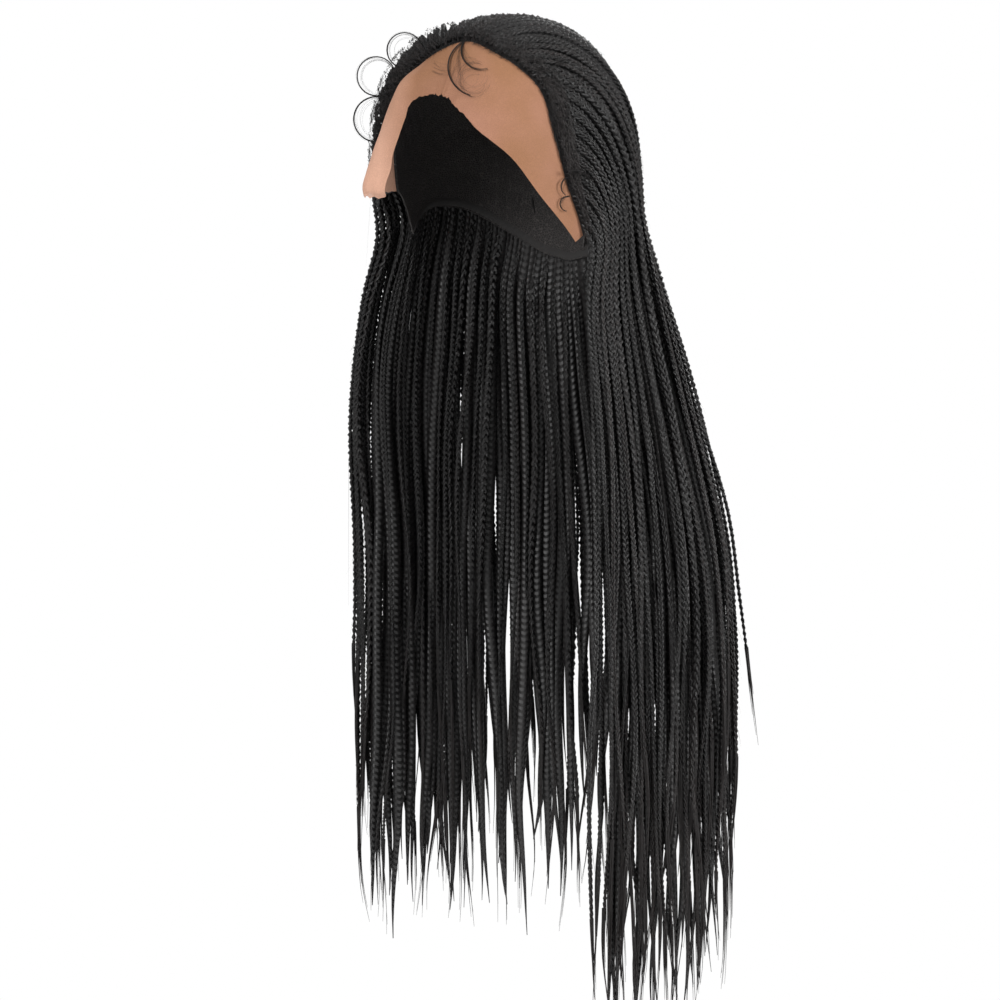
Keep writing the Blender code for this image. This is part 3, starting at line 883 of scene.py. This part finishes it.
# Two plaits that come out of the mass and hang a little away from it, by how far they are to the right and
# towards the camera at each height
StrayPlait = namedtuple("StrayPlait", "towards heights rights")
STRAY_PLAITS = (
    StrayPlait((-0.020, -0.020, -0.020, -0.020, -0.020), (-0.230, -0.3525, -0.428, -0.497, -0.539),
               (0.118, 0.160, 0.172, 0.1815, 0.187)),
    StrayPlait((0.064, 0.081, 0.081, 0.080, 0.079), (-0.230, -0.440, -0.521, -0.631, -0.722),
               (0.058, 0.061, 0.0565, 0.058, 0.062)),
)
for stray in STRAY_PLAITS:
    up = np.linspace(stray.heights[0], stray.heights[-1], 90)
    depths = [-height for height in stray.heights]
    right = smooth(depths, stray.rights, -up)
    towards = smooth(depths, stray.towards, -up)
    path = right[:, None] * view_right + towards[:, None] * view_back + up[:, None] * (0, 0, 1)
    line = resample(path, PATH_STEP)[0]
    own = np.random.default_rng(int(-stray.heights[-1] * 1e4))
    plait = plaits[0]._replace(width=0.0050, period=0.015, loose=0.07, roll=0.8, tone=0.4, sides=3, samples=7)
    add_plait(piles[0], plait, line, own)
    add_loose_end(end_pile, plait, line, END_WISPS, own)

CROWN_NODES = ("near_side", "near_top", "middle", "far_top", "far_side")
for group, name in enumerate(CROWN_NODES):
    hanging = piles[group].make("plaits_" + name, plait_hair)
    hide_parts("crown_braids_" + name, f"fall_{2 * group + 1:02d}", f"fall_{2 * group + 2:02d}")
inner_piles[0].make("inner_plaits_near", plait_hair)
inner_piles[1].make("inner_plaits_far", plait_hair)
hidden_pile.make("hidden_plaits", hidden_hair)
end_pile.make("loose_ends", loose_hair)

# Hairline hair. Short hairs knotted singly into the net along the hairline, so that no edge shows. Most are
# combed back over the roots of the plaits, some make tiny loops there, and some lie forward on the lace.

COMBED_HAIRS = 2600
ROOT_HAIRS = 1500
LOOP_HAIRS = 1100
FRIZZ_HAIRS = 2400
HAIR_WIDTH = 0.00022
HAIR_TILT = 0.6
HAIR_POINT = 0.15
COMBED_WIDER = 3.2
ROOT_WIDER = 2.2
LOOP_WIDER = 2.6
COMBED_START = 0.045
KNOT_LIFT = 0.0015
LONG_FRIZZ_HAIRS = 70


def ribbons(pile, centres, outwards, width, tone, reach=0.5):
    """Flat fine hairs, one for each row of centres, that narrow to a point and face more or less outwards."""
    way = unit(np.gradient(centres, axis=1))
    taper = 0.5 * width * np.linspace(1, HAIR_POINT, centres.shape[1])[None, :, None]
    tilt = HAIR_TILT * fuzz_random.standard_normal((len(centres), 1, 3))
    side = unit(np.cross(outwards + tilt, way)) * taper
    pile.add_grids(np.stack([centres - side, centres + side], 2), tone[:, None, None], reach)


def even_shares(count):
    """Random shares along the hairline that are spread evenly by its length."""
    return np.interp(fuzz_random.random(count) * hairline_way[-1], hairline_way, hairline_shares)


fuzz_random = np.random.default_rng(29)
fuzz_pile = Pile()

share = even_shares(COMBED_HAIRS)[:, None]
grow = np.linspace(0, 1, 4)[None, :]
start = fuzz_random.random((COMBED_HAIRS, 1)) ** 2 * COMBED_START
long = (0.005 + 0.016 * fuzz_random.random((COMBED_HAIRS, 1)) ** 1.5) / WAY_LENGTH
slant = 0.014 * fuzz_random.standard_normal((COMBED_HAIRS, 1))
bow = 0.006 * fuzz_random.standard_normal((COMBED_HAIRS, 1)) * np.sin(np.pi * grow)
hair_share = np.clip(share + slant * grow + bow, 0, 1)
hair_along = start + long * grow
lift = read_grid(top_grid, hair_share, hair_along) * (0.2 + 0.75 * fuzz_random.random((COMBED_HAIRS, 1)) ** 2)
lift = KNOT_LIFT + (lift - KNOT_LIFT) * np.clip(grow * 2.5, 0, 1) + 0.0006 * np.sin(np.pi * grow)
centres, outwards = on_crown(hair_share, hair_along, lift)
ribbons(fuzz_pile, centres, outwards, HAIR_WIDTH * COMBED_WIDER, fuzz_random.uniform(-0.6, 2.2, COMBED_HAIRS))

share = even_shares(ROOT_HAIRS)[:, None]
long = (0.0030 + 0.0060 * fuzz_random.random((ROOT_HAIRS, 1)) ** 3) / WAY_LENGTH
hair_share = np.clip(share + 0.009 * fuzz_random.standard_normal((ROOT_HAIRS, 1)) * grow, 0, 1)
lift = 0.0012 + 0.0014 * np.sin(np.pi * grow) * fuzz_random.random((ROOT_HAIRS, 1))
centres, outwards = on_crown(hair_share, 0.006 - long * grow, lift)
ribbons(fuzz_pile, centres, outwards, HAIR_WIDTH * ROOT_WIDER, fuzz_random.random(ROOT_HAIRS))

share = even_shares(LOOP_HAIRS)[:, None]
turn = np.linspace(0, 2 * np.pi, 8)[None, :]
size = 0.0009 + 0.0016 * fuzz_random.random((LOOP_HAIRS, 1))
spot = 0.02 + 0.15 * fuzz_random.random((LOOP_HAIRS, 1)) ** 1.3
hair_along = spot + size * np.cos(turn) / WAY_LENGTH
hair_share = np.clip(share + size * np.sin(turn) / hairline_way[-1], 0, 1)
lift = read_grid(top_grid, hair_share, hair_along) + 0.0008 * np.cos(3 * turn)
centres, outwards = on_crown(hair_share, hair_along, lift)
ribbons(fuzz_pile, centres, outwards, HAIR_WIDTH * LOOP_WIDER, fuzz_random.uniform(0.8, 2.6, LOOP_HAIRS))

# Frizz: short ends that have slipped out of the plaits, and a few long ones that lie across them
for long, count, bow_out in ((0.012, FRIZZ_HAIRS, 0.0030), (0.11, LONG_FRIZZ_HAIRS, 0.0050)):
    frizz = []
    for _ in range(count):
        line = lines[fuzz_random.integers(HAIRLINE_PLAITS + CAP_PLAITS)]
        at = fuzz_random.integers(4, len(line) - 24)
        reach = max(int(long / PATH_STEP * (0.6 + 0.8 * fuzz_random.random())), 1)
        ends = line[at], line[min(at + reach, len(line) - 1)]
        grow = np.linspace(0, 1, 5)[:, None]
        outward = unit(ends[0] * (1, 1, 0))
        aside = np.cross(outward, (0, 0, 1)) * fuzz_random.standard_normal() * bow_out
        path = ends[0] * (1 - grow) + ends[1] * grow
        frizz.append(path + outward * (0.002 + bow_out * grow * fuzz_random.random()) + aside * grow)
    centres = np.array(frizz)
    ribbons(fuzz_pile, centres, unit(centres * (1, 1, 0)), HAIR_WIDTH, fuzz_random.random(count))
fuzz_pile.make("hairline_hair", loose_hair)

# Baby curls. Short locks of a few hairs each, knotted at the hairline and laid in rings on and beside the
# lace, where they stay in shape. Each has some hairs that keep together and finer ones that stray inside it.

# Middle and radius in metres: to the right and up in the camera's view. Angles anticlockwise from the right.
# Off is how far it stands off the cap's form, or 0 where it is beside it. Body is how many hairs it has that
# keep together.
Curl = namedtuple("Curl", "right up radius last_radius first_angle last_angle off body")
CURLS = (
    Curl(-0.0770, -0.0215, 0.0129, 0.0125, -15, 355, 0.0, 9),
    Curl(-0.0973, -0.0398, 0.0137, 0.0145, 15, 320, 0.0, 9),
    Curl(-0.0978, -0.0706, 0.0159, 0.0165, 55, 300, 0.0, 9),
    Curl(-0.0240, -0.0330, 0.0190, 0.0225, 124, 258, 0.0035, 6),
    Curl(-0.0220, -0.0220, 0.0128, 0.0155, 156, 290, 0.0035, 5),
    Curl(-0.0270, -0.0440, 0.0105, 0.0125, 60, 420, 0.0030, 0),
    Curl(-0.0500, -0.0260, 0.0120, 0.0140, 150, 340, 0.0040, 0),
    Curl(0.0395, -0.0390, 0.0100, 0.0120, 60, 410, 0.0110, 2),
    Curl(0.0440, -0.1200, 0.0130, 0.0130, 110, -40, 0.0110, 3),
    Curl(0.0420, -0.1180, 0.0068, 0.0074, 95, 240, 0.0040, 4),
    Curl(0.0395, -0.1303, 0.0053, 0.0056, 75, 265, 0.0040, 4),
)
CURL_ASIDE = 0.010
CURL_STRAYS = 10
CURL_STEPS = 26
BODY_RADIUS = 0.00036
STRAY_RADIUS = 0.00007
VIEW_REACH = 0.12
HALVINGS = 24


def before_head(right, up, off):
    """How far towards the camera the cap's form is at places of the camera's view."""
    low, high = np.zeros_like(right), np.full_like(right, VIEW_REACH)
    for _ in range(HALVINGS):
        middle = (low + high) / 2
        place = right[..., None] * view_right + middle[..., None] * view_back
        level = (up + CROWN_HEIGHT) / np.where(up > -CROWN_HEIGHT, CROWN_HEIGHT, NAPE_HEIGHT)
        flat = np.hypot(place[..., 0] / HEAD_HALF_WIDTH, place[..., 1] / HEAD_HALF_DEPTH)
        inside = flat**HEAD_SQUARENESS + np.abs(level) ** HEAD_SQUARENESS < 1
        low, high = np.where(inside, middle, low), np.where(inside, high, middle)
    return low + off


curl_random = np.random.default_rng(41)
curl_pile = Pile()
for curl in CURLS:
    for hair in range(curl.body + CURL_STRAYS):
        stray = hair >= curl.body
        t = np.linspace(0, 1 - 0.4 * stray * curl_random.random(), CURL_STEPS)
        angle = np.radians(curl.first_angle + (curl.last_angle - curl.first_angle) * t)
        tight = 1 - stray * 0.45 * curl_random.random() ** 1.5 * np.sin(np.pi * t)
        radius = (curl.radius + (curl.last_radius - curl.radius) * t) * tight
        radius = radius + 0.00050 * curl_random.uniform(-1, 0.6) * (0.4 + t)
        shift = (0.04 if curl.body else 0.22) * curl.radius * stray * curl_random.standard_normal(2)
        right = curl.right + shift[0] + radius * np.cos(angle)
        up = curl.up + shift[1] + radius * np.sin(angle)
        towards = before_head(right, up, curl.off) if curl.off else np.full_like(right, CURL_ASIDE)
        towards = towards + 0.0004 * curl_random.standard_normal() + 0.002 * t * (curl.off == 0)
        points = right[:, None] * view_right + towards[:, None] * view_back + up[:, None] * (0, 0, 1)
        thick = STRAY_RADIUS if stray else BODY_RADIUS
        facing = np.broadcast_to(view_back, points.shape)
        taper = thick * (1.0 - 0.6 * t)
        tone = 0.9 if curl.off > 0.01 else 0.3
        tube(curl_pile, points, taper, taper, facing, 3, tone, 0.6, t)
curl_pile.make("baby_curls", loose_hair)
